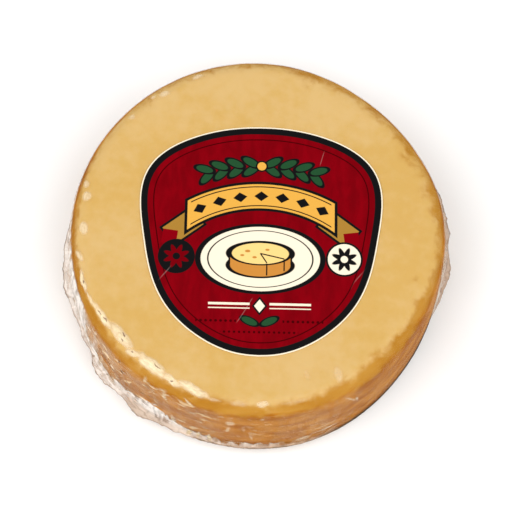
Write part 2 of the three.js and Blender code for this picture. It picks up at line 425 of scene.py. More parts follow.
def wheel_profile(size, wall_heights, shoulder_steps, top_distances, base_distances):
    """Points of distance and height from the base's centre, out and up the wall, to the top's centre."""
    turns = [0.5 * math.pi * step / shoulder_steps for step in range(shoulder_steps + 1)]
    low, high = size.base_shoulder, size.top_shoulder
    head = size.height - high
    points = [(distance, 0.0) for distance in base_distances]
    points += [(size.radius - low * (1 - math.sin(turn)), low * (1 - math.cos(turn))) for turn in turns]
    points += [(size.radius, height) for height in wall_heights]
    points += [(size.radius - high * (1 - math.cos(turn)), head + high * math.sin(turn)) for turn in turns]
    points += [(distance, size.height) for distance in top_distances]
    return np.array(points)


def profile_facts(profile):
    """For each profile point, its outward normal and its way along the profile from the base's centre."""
    ahead = np.vstack([profile[1:], profile[-1:]]) - np.vstack([profile[:1], profile[:-1]])
    ahead /= np.linalg.norm(ahead, axis=1)[:, None]
    normals = np.column_stack([ahead[:, 1], -ahead[:, 0]])
    normals[0], normals[-1] = (0, -1), (0, 1)
    steps = np.linalg.norm(np.diff(profile, axis=0), axis=1)
    return normals, np.concatenate([[0], np.cumsum(steps)])


def top_swell(points, size):
    """How far the nearly flat top rises or falls at a place, for every piece alike."""
    return size.swell * noise_at(points, (55, 55, 0), 3.7)


class WheelSurface:
    """The wheel's surface, as the vertices of a spun profile, before and after it is shaped."""

    def __init__(self, obj, profile, size):
        points = coordinates(obj)
        self.size = size
        self.distance = np.hypot(points[:, 0], points[:, 1])
        self.height = points[:, 2]
        self.angle = np.degrees(np.arctan2(points[:, 1], points[:, 0]))

        def nearest_row(distance, height):
            return np.argmin((profile[:, 0] - distance) ** 2 + (profile[:, 1] - height) ** 2)

        places = zip(self.distance, self.height, strict=True)
        row = np.array([nearest_row(*place) for place in places])
        normals, along = profile_facts(profile)
        foot, head = size.base_shoulder, size.height - size.top_shoulder
        off = size.top_shoulder * math.sin(math.pi / 4)
        edge_row = nearest_row(size.radius - size.top_shoulder + off, head + off)
        self.normal = normals[row]
        self.rim = along[row] - along[edge_row]
        self.wall = (self.height > foot + HAIR) & (self.height < head - HAIR)
        self.up = np.clip((self.height - foot) / (head - foot), 0, 1)

    def placed(self, height, lift, outward=0.0, rise=0.0):
        """The points, with the plan's waves and the wall's swell, lifted along the profile's normal."""
        share = plan_share(self.angle)
        swell = self.size.bulge * np.sin(np.pi * self.up) * self.wall
        distance = self.distance * share + swell + lift * self.normal[:, 0] + outward
        turn = np.radians(self.angle)
        height = height + lift * self.normal[:, 1] + rise
        across = distance * np.cos(turn) + WHEEL_AXIS[0]
        away = distance * np.sin(turn) + WHEEL_AXIS[1]
        return np.column_stack([across, away, height])


def edge_slump(surface, size):
    """Extra rounding of the top edge, uneven round the wheel. It only takes away."""
    amount = 0.5 + 0.5 * noise_round(surface.angle, 2.3, 11.0) + 0.25 * noise_round(surface.angle, 7, 5.0)
    return -size.slump * np.clip(amount, 0, 1.3) * bump(surface.rim, 4.5 * MM)


# --- shader nodes --------------------------------------------------------------------------------------


class Board:
    """A node tree, with short ways to add and join its nodes."""

    def __init__(self, tree):
        self.tree = tree

    def add(self, kind, values=None, **settings):
        made = self.tree.nodes.new(kind)
        for name, value in settings.items():
            setattr(made, name, value)
        for socket, value in (values or {}).items():
            self.feed(made.inputs[socket], value)
        return made

    def feed(self, socket, value):
        if isinstance(value, bpy.types.NodeSocket):
            self.tree.links.new(value, socket)
        elif socket.type == "RGBA" and len(value) == 3:
            socket.default_value = (*value, 1)
        else:
            socket.default_value = value

    def maths(self, operation, first, second=0.0, third=0.0):
        made = self.add("ShaderNodeMath", {0: first, 1: second, 2: third}, operation=operation)
        return made.outputs[0]

    plus = partialmethod(maths, "ADD")
    minus = partialmethod(maths, "SUBTRACT")
    times = partialmethod(maths, "MULTIPLY")
    over = partialmethod(maths, "DIVIDE")
    most = partialmethod(maths, "MAXIMUM")
    least = partialmethod(maths, "MINIMUM")
    times_plus = partialmethod(maths, "MULTIPLY_ADD")
    unsigned = partialmethod(maths, "ABSOLUTE")

    def vector(self, operation, first, second=(0, 0, 0)):
        made = self.add("ShaderNodeVectorMath", {0: first, 1: second}, operation=operation)
        return made.outputs["Value" if operation in ("LENGTH", "DOT_PRODUCT") else "Vector"]

    def split(self, vector):
        return self.add("ShaderNodeSeparateXYZ", {"Vector": vector}).outputs

    def join(self, **parts):
        return self.add("ShaderNodeCombineXYZ", parts).outputs[0]

    def turned(self, place, angle, invert=False):
        values = {"Vector": place, "Angle": angle}
        return self.add("ShaderNodeVectorRotate", values, rotation_type="Z_AXIS", invert=invert).outputs[0]

    def ramp(self, value, low, high, to_low=0.0, to_high=1.0):
        """A smooth step of value from low to high."""
        made = self.add(
            "ShaderNodeMapRange",
            {"Value": value, "From Min": low, "From Max": high, "To Min": to_low, "To Max": to_high},
            interpolation_type="SMOOTHSTEP",
        )
        return made.outputs["Result"]

    def blend(self, factor, first, second):
        """A mix of two colours."""
        return self.add("ShaderNodeMix", {0: factor, 6: first, 7: second}, data_type="RGBA").outputs[2]

    def between(self, factor, first, second):
        """A mix of two numbers."""
        return self.add("ShaderNodeMix", {0: factor, 2: first, 3: second}, data_type="FLOAT").outputs[0]

    def attribute(self, name, output="Fac"):
        return self.add("ShaderNodeAttribute", attribute_name=name).outputs[output]

    def noise(self, place, scale, detail=2.0, distortion=0.0):
        values = {"Vector": place, "Scale": scale, "Detail": detail, "Distortion": distortion}
        return self.add("ShaderNodeTexNoise", values).outputs[0]

    def bumps(self, height, strength, distance):
        values = {"Strength": strength, "Distance": distance, "Height": height}
        return self.add("ShaderNodeBump", values).outputs[0]

    def object_place(self):
        return self.add("ShaderNodeTexCoord").outputs["Object"]

    def group(self, name, values):
        made = self.add("ShaderNodeGroup", node_tree=bpy.data.node_groups[name])
        for socket, value in values.items():
            self.feed(made.inputs[socket], value)
        return made.outputs[0]

    def mottle(self, place, patches, fine):
        return self.group("Mottle", {"Vector": place, "Patches": patches, "Fine": fine})

    def streaks(self, place, stretch, scale, low, high):
        values = {"Vector": place, "Stretch": stretch, "Scale": scale, "Low": low, "High": high}
        return self.group("Streaks", values)


def new_group(name, inputs, output="Mask", output_kind="Float"):
    """An empty shader node group: its board, what it is given, and its one result to feed."""
    tree = bpy.data.node_groups.new(name, "ShaderNodeTree")
    for kind, input_names in inputs.items():
        for input_name in input_names:
            tree.interface.new_socket(name=input_name, in_out="INPUT", socket_type="NodeSocket" + kind)
    tree.interface.new_socket(name=output, in_out="OUTPUT", socket_type="NodeSocket" + output_kind)
    board = Board(tree)
    return board, board.add("NodeGroupInput").outputs, board.add("NodeGroupOutput").inputs[0]


def new_material(name):
    """A material with an empty board, and the surface socket to feed."""
    material = bpy.data.materials.new(name)
    material.use_nodes = True
    material.node_tree.nodes.clear()
    board = Board(material.node_tree)
    return material, board, board.add("ShaderNodeOutputMaterial").inputs["Surface"]


def make_mottle_group():
    """Soft cloudy patches over a finer cloudiness, from 0 to 1."""
    board, given, result = new_group("Mottle", {"Vector": ("Vector",), "Float": ("Patches", "Fine")})
    broad = board.noise(given["Vector"], given["Patches"], 3.0)
    fine = board.noise(given["Vector"], given["Fine"])
    both = board.times_plus(fine, 0.35, board.times(broad, 0.65))
    board.feed(result, board.ramp(both, 0.36, 0.64))


def make_streak_group():
    """Noise drawn out along one way of the surface, kept between two levels, from 0 to 1."""
    board, given, result = new_group(
        "Streaks", {"Vector": ("Vector", "Stretch"), "Float": ("Scale", "Low", "High")}
    )
    drawn = board.vector("MULTIPLY", given["Vector"], given["Stretch"])
    level = board.noise(drawn, given["Scale"], 3.0, 0.3)
    board.feed(result, board.ramp(level, given["Low"], given["High"]))


def make_slit_group():
    """One thin short slit with soft ends, from 0 to 1."""
    board, given, result = new_group(
        "Slit",
        {"Vector": ("Vector", "Centre", "Along", "Across"), "Float": ("Half Length", "Half Width")},
    )
    away = board.vector("SUBTRACT", given["Vector"], given["Centre"])
    along = board.over(board.vector("DOT_PRODUCT", away, given["Along"]), given["Half Length"])
    bent = board.times(board.minus(board.noise(given["Vector"], 900.0), 0.5), 1.2 * MM)
    across = board.plus(board.vector("DOT_PRODUCT", away, given["Across"]), bent)
    across = board.over(across, given["Half Width"])
    outward = board.vector("CROSS_PRODUCT", given["Along"], given["Across"])
    depth = board.over(board.vector("DOT_PRODUCT", away, outward), 3 * MM)
    squares = board.times_plus(along, along, board.times(across, across))
    squares = board.times_plus(depth, depth, squares)
    board.feed(result, board.ramp(squares, 1.3, 0.5))


def make_hairline_group():
    """A few long hairlines across a surface, from 0 to 1."""
    board, given, result = new_group("Hairlines", {"Vector": ("Vector",), "Float": ("Turn", "Spacing")})
    turned = board.turned(given["Vector"], given["Turn"])
    across = board.over(board.split(turned)["X"], given["Spacing"])
    across = board.times_plus(board.noise(turned, 40.0, 1.0), 0.5, across)
    near_line = board.unsigned(board.minus(board.maths("FRACT", across), 0.5))
    line = board.ramp(near_line, 0.008, 0.002)
    where = board.noise(given["Vector"], 130.0, 1.0)
    board.feed(result, board.times(line, board.ramp(where, 0.56, 0.66)))


def local_place(board, given):
    """The place as seen from a shape's own centre and turn."""
    away = board.vector("SUBTRACT", given["Vector"], given["Centre"])
    return board.turned(away, given["Turn"], True)


def make_oval_group():
    """Distance from the outline of an oval, below 0 inside it."""
    board, given, result = new_group(
        "Oval Outline", {"Vector": ("Vector", "Centre", "Half Size"), "Float": ("Turn",)}, "Distance"
    )
    size = board.split(given["Half Size"])
    reach = board.vector("LENGTH", board.vector("DIVIDE", local_place(board, given), given["Half Size"]))
    board.feed(result, board.times(board.minus(reach, 1.0), board.least(size["X"], size["Y"])))


def make_bar_group():
    """Distance from the outline of a bar, below 0 inside it. At Lozenge 1 it is a lozenge."""
    board, given, result = new_group(
        "Bar Outline",
        {"Vector": ("Vector", "Centre", "Half Size"), "Float": ("Turn", "Lozenge")},
        "Distance",
    )
    place = board.split(board.vector("ABSOLUTE", local_place(board, given)))
    size = board.split(given["Half Size"])
    bar = board.most(board.minus(place["X"], size["X"]), board.minus(place["Y"], size["Y"]))
    shares = board.plus(board.over(place["X"], size["X"]), board.over(place["Y"], size["Y"]))
    narrow = board.times(board.least(size["X"], size["Y"]), 0.8)
    lozenge = board.times(board.minus(shares, 1.0), narrow)
    board.feed(result, board.between(given["Lozenge"], bar, lozenge))


def make_ribbon_group():
    """Distance from the outline of a band bent round a centre, with upright ends, below 0 inside it."""
    board, given, result = new_group(
        "Ribbon Outline",
        {"Vector": ("Vector", "Centre"), "Float": ("Radius", "Half Width", "Half Length")},
        "Distance",
    )
    local = board.vector("SUBTRACT", given["Vector"], given["Centre"])
    off = board.unsigned(board.minus(board.vector("LENGTH", local), given["Radius"]))
    across = board.minus(off, given["Half Width"])
    place = board.split(local)
    along = board.minus(board.unsigned(place["X"]), given["Half Length"])
    below = board.times(place["Y"], -1.0)
    board.feed(result, board.most(board.most(across, along), below))


def make_dots_group():
    """Distance from the outline of a row of dots, below 0 inside them."""
    board, given, result = new_group(
        "Dotted Line",
        {"Vector": ("Vector", "Centre"), "Float": ("Pitch", "Radius", "Half Length")},
        "Distance",
    )
    place = board.split(board.vector("SUBTRACT", given["Vector"], given["Centre"]))
    turns = board.maths("FRACT", board.plus(board.over(place["X"], given["Pitch"]), 0.5))
    along = board.times(board.minus(turns, 0.5), given["Pitch"])
    reach = board.vector("LENGTH", board.join(X=along, Y=place["Y"]))
    beyond = board.minus(board.unsigned(place["X"]), given["Half Length"])
    board.feed(result, board.most(board.minus(reach, given["Radius"]), beyond))


def make_ink_group():
    """Lays one ink over what is printed, inside an outline that may be grown."""
    board, given, result = new_group(
        "Lay Ink", {"Color": ("Under", "Ink"), "Float": ("Distance", "Grow")}, "Color", "Color"
    )
    inside = board.ramp(board.minus(given["Distance"], given["Grow"]), 0.06, -0.06)
    board.feed(result, board.blend(inside, given["Under"], given["Ink"]))


# --- materials -----------------------------------------------------------------------------------------


def cheese_material(colours):
    """Cream top with amber smoke along its edge and a tan wall, softly mottled, a little translucent, with
    painted shade along its foot.
    """
    material, board, surface = new_material("smoked_rind")
    place = board.object_place()
    smoke = board.attribute("smoke")
    cream = board.blend(board.mottle(place, 38.0, 330.0), colours.top_deep, colours.top_pale)
    level = board.streaks(place, (0.6, 0.6, 1.5), 190.0, 0.32, 0.68)
    tan = board.blend(level, colours.wall_deep, colours.wall)
    shift = board.minus(board.noise(place, 260.0, 3.0), 0.5)
    edge = board.times_plus(shift, 1.6 * MM, board.attribute("rim"))
    body = board.blend(board.ramp(edge, 0.5 * MM, -1.3 * MM), cream, tan)
    veins = board.minus(board.noise(place, 400.0, 3.0, 0.5), 0.5)
    veined = board.times(veins, board.ramp(smoke, 0.0, 0.3))
    stained = board.times_plus(shift, 0.55, board.times_plus(veined, 1.3, smoke))
    amber = board.blend(level, colours.amber_deep, colours.amber)
    colour = board.blend(board.ramp(stained, 0.05, 0.95), body, amber)
    # Painted shade along the foot
    colour = board.blend(board.attribute("painted_foot_shade"), colour, colours.foot)
    pits = board.noise(place, 520.0, 3.0)
    relief = board.times_plus(board.noise(place, 1800.0), 0.3, pits)
    shader = board.add(
        "ShaderNodeBsdfPrincipled",
        {
            "Base Color": colour,
            "Roughness": board.ramp(pits, 0.3, 0.7, 0.42, 0.58),
            "IOR": 1.4,
            "Specular IOR Level": 0.01,
            "Subsurface Weight": 0.1,
            "Subsurface Radius": (1.0, 0.6, 0.3),
            "Subsurface Scale": 1.4 * MM,
            "Normal": board.bumps(relief, 0.22, 0.12 * MM),
        },
    )
    board.feed(surface, shader.outputs[0])
    return material


def slit_mask(board, sheet, direction, up, half_length, lean):
    """A short slit of painted shade in the film, from 0 to 1. Its place is on the flattened sheet, in
    millimetres.
    """
    turn, tilt = math.radians(direction), math.radians(lean)
    along = Vector((-math.sin(turn) * math.cos(tilt), math.cos(turn) * math.cos(tilt), math.sin(tilt)))
    outward = Vector((math.cos(turn), math.sin(turn), 0))
    across = outward.cross(along)
    centre = outward * bpy.context.scene.gouda_round.radius + Vector((0, 0, up * MM))
    values = {"Vector": sheet, "Centre": centre, "Along": along, "Across": across}
    return board.group("Slit", {**values, "Half Length": half_length * MM, "Half Width": 0.17 * MM})


def film_material(colours):
    """Clear film: see-through where it is tight, milky where it is loose, glossy where it is creased."""
    material, board, surface = new_material("shrink_film")
    sheet = board.attribute("sheet", "Vector")
    names = ("veil", "crinkled", "tuck", "weld", "shaded", "flap", "painted_foot_shade")
    veil, crinkled, tuck, weld, shaded, flap, painted_foot_shade = (board.attribute(name) for name in names)
    upright = board.streaks(sheet, (1.4, 1.4, 0.25), 420.0, 0.34, 0.66)
    # Flecks on the crinkles: raised in the bump, and whitened with painted highlight
    glint_flecks = board.times(crinkled, board.streaks(sheet, (0.55, 0.55, 1.5), 560.0, 0.57, 0.64))
    # Short ticks of painted shade in the crinkles
    shaded_ticks = board.streaks(sheet, (0.42, 0.42, 2.1), 620.0, 0.37, 0.31)
    fine = board.streaks(sheet, (0.7, 0.7, 1.6), 1100.0, 0.3, 0.7)

    reach = board.vector("LENGTH", board.vector("MULTIPLY", board.object_place(), (1, 1, 0)))
    round_the_rim = board.vector("MULTIPLY", sheet, (0.35, 0.35, 0))
    fan = board.vector("ADD", round_the_rim, board.join(Z=board.times(reach, 1.6)))
    crumpled = board.streaks(fan, (1, 1, 1), 620.0, 0.4, 0.6)
    clinging = board.times(veil, board.times_plus(upright, 0.7, 0.5))
    loose = board.between(flap, clinging, board.times_plus(crumpled, 0.5, 0.3))
    # Milk in the tucks is partly painted highlight
    tucked = board.times(tuck, board.times_plus(fine, 0.3, 0.7))
    milk = board.plus(board.most(loose, tucked), board.times(glint_flecks, 0.6))
    # Along the foot the film turns opaque to carry the painted shade
    milk = board.most(board.least(milk, 0.92), painted_foot_shade)
    creased = board.most(board.times(crinkled, 0.4), board.ramp(tuck, 0.1, 0.6))
    # Dark along the welded edge, partly the weld and partly painted shade, and painted shade in the ticks
    # and slits
    weld_and_crease_shade = board.most(weld, board.times(shaded_ticks, crinkled))
    for slit in SLITS:
        weld_and_crease_shade = board.most(weld_and_crease_shade, slit_mask(board, sheet, *slit))

    relief = board.times_plus(glint_flecks, 0.6, board.times(fine, 0.35))
    relief = board.times_plus(upright, board.times(veil, 0.6), relief)
    normal = board.bumps(relief, board.ramp(creased, 0.0, 1.0, 0.12, 1.0), 0.3 * MM)

    pale = board.blend(board.ramp(loose, 0.15, 0.6), colours.misty, colours.milky)
    # The tucked colour is partly painted highlight
    pale = board.blend(board.ramp(tuck, 0.0, 0.3), pale, colours.tucked)
    pale = board.blend(flap, pale, board.blend(crumpled, colours.film_shade, colours.milky))
    # Painted shade browns the fins and the film low on the wall
    pale = board.blend(shaded, pale, colours.film_shaded)
    # Painted shade along the foot
    pale = board.blend(painted_foot_shade, pale, colours.foot)
    haze = board.add(
        "ShaderNodeBsdfPrincipled",
        {
            "Base Color": board.blend(weld_and_crease_shade, pale, colours.film_edge),
            "Roughness": 0.5,
            "IOR": 1.4,
            # No specular over the painted shade along the foot
            "Specular IOR Level": board.ramp(painted_foot_shade, 0.0, 0.4, 0.3, 0.0),
            "Normal": normal,
        },
    )
    tint = board.blend(board.times(weld_and_crease_shade, 0.7), (0.975, 0.965, 0.95), colours.film_edge)
    # Painted shade also darkens what shows through there
    tint = board.blend(shaded, tint, (0.86, 0.82, 0.78))
    clear = board.add("ShaderNodeBsdfTransparent", {"Color": tint})
    gloss = board.add("ShaderNodeBsdfGlossy", {"Color": (1, 1, 1), "Roughness": 0.16, "Normal": normal})
    body = board.add("ShaderNodeMixShader", {0: milk, 1: clear.outputs[0], 2: haze.outputs[0]})
    facing = board.add("ShaderNodeLayerWeight", {"Blend": 0.5, "Normal": normal}).outputs["Facing"]
    mirror = board.times_plus(board.maths("POWER", facing, 5.0), 0.92, 0.07)
    shine = board.times(mirror, board.ramp(creased, 0.0, 1.0, 0.04, 0.55))
    # No gloss over the painted shade along the foot
    shine = board.times(shine, board.ramp(painted_foot_shade, 0.0, 0.4, 1.0, 0.0))
    film = board.add("ShaderNodeMixShader", {0: shine, 1: body.outputs[0], 2: gloss.outputs[0]})
    board.feed(surface, film.outputs[0])
    return material


class Press:
    """Prints shapes on the sticker, one over the other, in millimetres from its centre."""

    def __init__(self, board, place, ground, colours):
        self.board = board
        self.place = board.vector("MULTIPLY", place, (1, 1, 0))
        self.colour = ground
        self.black = colours.print_black

    def lay(self, distance, ink, grow=0.0):
        values = {"Under": self.colour, "Ink": ink, "Distance": distance, "Grow": grow}
        self.colour = self.board.group("Lay Ink", values)

    def outlined(self, distance, ink, width):
        """Lays an ink inside a black outline."""
        self.lay(distance, self.black, width)
        self.lay(distance, ink)

    def shape(self, kind, x, y, **values):
        """Distance from a shape's outline. A value's name is the socket's, with underscores."""
        named = {name.replace("_", " ").title(): value for name, value in values.items()}
        return self.board.group(kind, {"Vector": self.place, "Centre": (x, y, 0), **named})

    def oval(self, x, y, half_width, half_height, turn=0.0):
        size = (half_width, half_height, 1e6)
        return self.shape("Oval Outline", x, y, half_size=size, turn=math.radians(turn))

    def bar(self, x, y, half_width, half_height, turn=0.0, lozenge=0.0):
        size = (half_width, half_height, 1)
        return self.shape("Bar Outline", x, y, half_size=size, turn=math.radians(turn), lozenge=lozenge)

    def dots(self, x, y, pitch, radius, half_length):
        return self.shape("Dotted Line", x, y, pitch=pitch, radius=radius, half_length=half_length)

    def ribbon(self, y, radius, half_width, half_length):
        sizes = {"radius": radius, "half_width": half_width, "half_length": half_length}
        return self.shape("Ribbon Outline", 0, y, **sizes)


def on_arch(centre_y, radius, degrees):
    """The place on an arch so many degrees clockwise from its crown."""
    turn = math.radians(90 - degrees)
    return radius * math.cos(turn), centre_y + radius * math.sin(turn)


def print_garland(press, colours, centre_y, radius):
    """Leaves in pairs along an arch, either side of a gold dot."""
    for step in (3.4, 8.2, 13, 17.8):
        for side in (-1, 1):
            for lean in (-1, 1):
                x, y = on_arch(centre_y, radius + 1.1 * lean, side * step)
                leaf = press.oval(x, y, 2.1, 0.9, -side * step + side * lean * 32)
                press.outlined(leaf, colours.print_green, 0.35)
    press.outlined(press.oval(0, centre_y + radius, 1.1, 1.1), colours.print_gold, 0.4)


def print_ribbon(press, colours, centre_y, radius):
    """A gold ribbon with folded tails, bent over the middle of the sticker, set with lozenges."""
    tail_at = 37.5
    gold_shadow = tuple(0.5 * level for level in colours.print_gold)
    for side in (-1, 1):
        tail = press.bar(*on_arch(centre_y, 31.2, side * tail_at), 4.3, 2.6, -side * tail_at)
        press.outlined(tail, gold_shadow, 0.6)
        notch = press.bar(side * 22.2, -0.1, 2.2, 2.2, -side * tail_at, 1.0)
        press.lay(notch, colours.print_red, 0.3)
    press.outlined(press.ribbon(centre_y, radius, 3.2, 18.0), colours.print_gold, 0.7)
    for off in (-2.5, 2.5):
        press.lay(press.ribbon(centre_y, radius + off, 0.14, 17.2), press.black)
    for step in range(-27, 28, 9):
        press.lay(press.bar(*on_arch(centre_y, radius, step), 1.75, 1.3, -step, 1.0), press.black)


def print_medallion(press, colours, x, y):
    """A cream oval that shows a wheel of cheese with one wedge marked."""
    oval = press.oval(x, y, 14.5, 8.4)
    press.outlined(oval, colours.print_cream, 0.8)
    press.lay(oval, press.black, -0.9)
    press.lay(oval, colours.print_cream, -1.12)
    rind, face = srgb(196, 132, 58), srgb(238, 204, 128)
    half_width, half_depth, wall = 7.3, 2.9, 3.1
    top_y = y + 1.4
    foot = press.oval(x, top_y - wall, half_width, half_depth)
    side = press.bar(x, top_y - 0.5 * wall, half_width, 0.5 * wall)
    head = press.oval(x, top_y, half_width, half_depth)
    for shape in (foot, side, head):
        press.lay(shape, press.black, 0.45)
    press.lay(foot, rind)
    press.lay(side, rind)
    press.lay(head, press.black, 0.2)
    press.lay(head, face, -0.15)
    for dx, dy, half_length, turn in ((2.9, -0.65, 3.0, -13), (0.8, -1.2, 1.5, -57)):
        press.lay(press.bar(x + dx, top_y + dy, half_length, 0.16, turn), press.black)
    for dx, dy in ((5.8, -1.4), (1.6, -2.6)):
        press.lay(press.bar(x + dx, top_y + dy - 0.5 * wall, 0.16, 0.5 * wall), press.black)
    for dx, dy, half in ((-3.1, 0.6, 0.44), (-4.4, -0.5, 0.34), (-1.4, -1.0, 0.37), (1.7, 1.0, 0.35)):
        press.lay(press.oval(x + dx, top_y + dy, 1.5 * half, 0.8 * half), rind)


def print_rosette(press, x, y, field, petal):
    """A round rosette of eight petals about a dot."""
    press.outlined(press.oval(x, y, 4.0, 4.0), field, 0.5)
    for step in range(4):
        press.lay(press.oval(x, y, 3.2, 0.75, 45 * step + 22.5), petal)
    press.lay(press.oval(x, y, 0.9, 0.9), field)


def print_foot(press, colours, dim):
    """Bars, dotted lines, two leaves and a lozenge below the medallion."""
    for side in (-1, 1):
        for y, half_height in ((-17.2, 0.3), (-18.3, 0.14)):
            press.lay(press.bar(side * 7.4, y, 5.0, half_height), colours.print_cream)
        press.outlined(press.oval(side * 2.4, -21.6, 2.0, 0.85, side * 24), colours.print_green, 0.3)
        press.lay(press.dots(side * 10.5, -21.6, 1.2, 0.34, 4.9), dim)
    press.lay(press.dots(0, -24.4, 1.2, 0.3, 9.4), dim)
    press.outlined(press.bar(0, -17.7, 1.3, 1.7, 0, 1.0), colours.print_cream, 0.45)


def sticker_material(colours, sticker):
    """Satin paper, printed with a crest's border, leaves, a gold ribbon and a cream medallion."""
    material, board, surface = new_material("printed_paper")
    place = board.object_place()
    local = board.add(
        "ShaderNodeMapping",
        {
            "Vector": place,
            "Location": (*sticker.centre, 0),
            "Rotation": (0, 0, sticker.turn),
            "Scale": (MM, MM, MM),
        },
        vector_type="TEXTURE",
    ).outputs[0]
    weave = board.streaks(place, (1.6, 0.5, 1.0), 260.0, 0.3, 0.7)
    red_deep, red_dark = (tuple(share * level for level in colours.print_red) for share in (0.74, 0.25))
    press = Press(board, local, board.blend(weave, red_deep, colours.print_red), colours)
    cut = board.times(board.attribute("edge"), 1 / MM)
    edge, border = sticker.edge / MM, sticker.border / MM
    press.lay(board.unsigned(board.minus(cut, edge + border + 1.5)), red_dark, 0.14)
    print_garland(press, colours, -26, 45)
    print_ribbon(press, colours, -22, 33)
    print_medallion(press, colours, 0, -5.5)
    print_rosette(press, -20.4, -5.2, press.black, red_deep)
    print_rosette(press, 20.4, -5.2, colours.print_cream, press.black)
    print_foot(press, colours, red_dark)
    press.lay(cut, press.black, edge + border)
    press.lay(cut, colours.print_cream, edge)
    lines = board.group("Hairlines", {"Vector": place, "Turn": math.radians(24), "Spacing": 22 * MM})
    # Faint pale hairlines laid over the print
    pale_lined = board.blend(board.times(lines, 0.15), press.colour, srgb(225, 190, 185))
    fibre = board.noise(place, 900.0, 3.0)
    relief = board.times_plus(fibre, 0.12, board.noise(place, 90.0))
    shader = board.add(
        "ShaderNodeBsdfPrincipled",
        {
            "Base Color": pale_lined,
            "Roughness": board.ramp(fibre, 0.3, 0.7, 0.38, 0.52),
            "Specular IOR Level": 0.02,
            "Normal": board.bumps(relief, 0.35, 0.22 * MM),
        },
    )
    board.feed(surface, shader.outputs[0])
    return material


def floor_material():
    """Pale matt paper, very faintly cloudy."""
    material, board, surface = new_material("pale_floor")
    mottle = board.mottle(board.object_place(), 9.0, 60.0)
    shader = board.add(
        "ShaderNodeBsdfPrincipled",
        {
            "Base Color": board.blend(mottle, srgb(250, 250, 249), srgb(253, 253, 252)),
            "Roughness": 0.75,
            "Specular IOR Level": 0.2,
        },
    )
    board.feed(surface, shader.outputs[0])
    return material


# --- the pieces ----------------------------------------------------------------------------------------


def smoke_amount(surface, points):
    """How strongly smoke has coloured each place, from 0 to about 1."""
    rim = surface.rim / MM
    below_edge = 1.1
    spread = 0.35 + np.where(rim > 0, round_the_wheel(AMBER_SPREADS, surface.angle), below_edge)
    line = round_the_wheel(AMBER_STRENGTHS, surface.angle) * np.exp(-0.5 * (rim / spread) ** 2)
    uneven = 0.92 + 0.2 * noise_at(points, (90, 90, 90), 21.0)
    stains = np.zeros_like(rim)
    for x, y, half_width, strength in SMOKE_STAINS:
        away = np.hypot(points[:, 0] / MM - x, points[:, 1] / MM - y)
        stains = np.maximum(stains, strength * np.exp(-0.5 * (away / half_width) ** 2))
    stains *= rim > -3
    return np.clip(line * uneven + stains * (0.5 + 0.5 * uneven), 0, 1)


def foot_line(angle, height, top, fade, kept):
    """How dark the painted shade along the foot is, below its top. The kept share of it goes on to the
    base.
    """
    share = kept + (1 - kept) * smooth(height, FOOT_LINE_LOW, FOOT_LINE_HIGH)
    return round_the_wheel(FOOT_SHADES, angle) * smooth(top - height, 0, fade) * share


class OBJECT_OT_gouda_cheese(bpy.types.Operator):
    """Makes the cheese itself: a flat round with soft edges, just inside the film"""

    bl_idname = "object.gouda_cheese"
    bl_label = "Make Cheese"

    def execute(self, context):
        size = context.scene.gouda_round
        head, foot = size.height - size.top_shoulder, size.base_shoulder
        wall = np.linspace(foot, head, 40)[1:-1]
        top = size.radius - size.top_shoulder - np.linspace(1 * MM, size.radius - size.top_shoulder, 32)
        base = (0, 12 * MM, 24 * MM, 36 * MM)
        profile = wheel_profile(size, wall, 12, top, base)
        cheese = spin_profile("cheese_wheel", profile, 2 * size.columns // 3)
        surface = WheelSurface(cheese, profile, size)
        points = coordinates(cheese)
        dents = noise_at(points, (160, 160, 160), 0.0) + 0.5 * noise_at(points, (420, 420, 420), 9.0)
        lift = -size.clearance - 0.05 * MM * (1 + np.clip(dents, -1, 1)) + edge_slump(surface, size)
        swell = top_swell(points, size) * smooth(surface.rim, 0, TOP_EDGE)
        placed = surface.placed(surface.height, lift, rise=swell)
        set_coordinates(cheese, placed)
        set_attribute(cheese, "rim", surface.rim)
        set_attribute(cheese, "smoke", smoke_amount(surface, placed))
        # The dark line along the foot is painted shade
        line_top = (4.4 + 0.4 * noise_round(surface.angle, 9, 13.0)) * MM
        painted_foot_shade = foot_line(surface.angle, placed[:, 2], line_top, 1.4 * MM, 0.35)
        set_attribute(cheese, "painted_foot_shade", painted_foot_shade)
        cheese.data.materials.append(cheese_material(context.scene.gouda_colours))
        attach(cheese, BODY)
        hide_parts("wrapped_round")
        return {"FINISHED"}


def creases(points, scale, width, seed):
    """Long thin ridges, 1 on their crests, where a stretched noise crosses zero."""
    return np.clip(1 - np.abs(noise_at(points, scale, seed)) / width, 0, 1) ** 1.5


def tuck_amount(angle, way, radius):
    """How strongly the film is tucked at each place, from 0 to 1. way is up over the top edge."""
    wobble = 0.3 * noise_round(angle, 24, 61.0)
    amount = np.zeros_like(angle)
    for at, up, half_length, half_width, lean, strength in TUCKS:
        along = np.radians(wrapped(angle - at)) * radius / MM
        near = np.abs(along) < half_length + half_width + 1
        across = way[near] / MM - up + wobble[near] * min(1, half_width)
        cosine, sine = math.cos(math.radians(lean)), math.sin(math.radians(lean))
        length = (along[near] * cosine + across * sine) / half_length
        width = (across * cosine - along[near] * sine) / half_width
        inside = smooth(length**2 + width**2, 1.6, 0.1)
        amount[near] = np.maximum(amount[near], strength * inside)
    return amount


def fin_section():
    """The fin's whole cross-section, below and above the seam."""
    lower_half = [(-offset, share) for offset, share in reversed(FIN_SECTION)]
    return np.array([*lower_half, *FIN_SECTION])


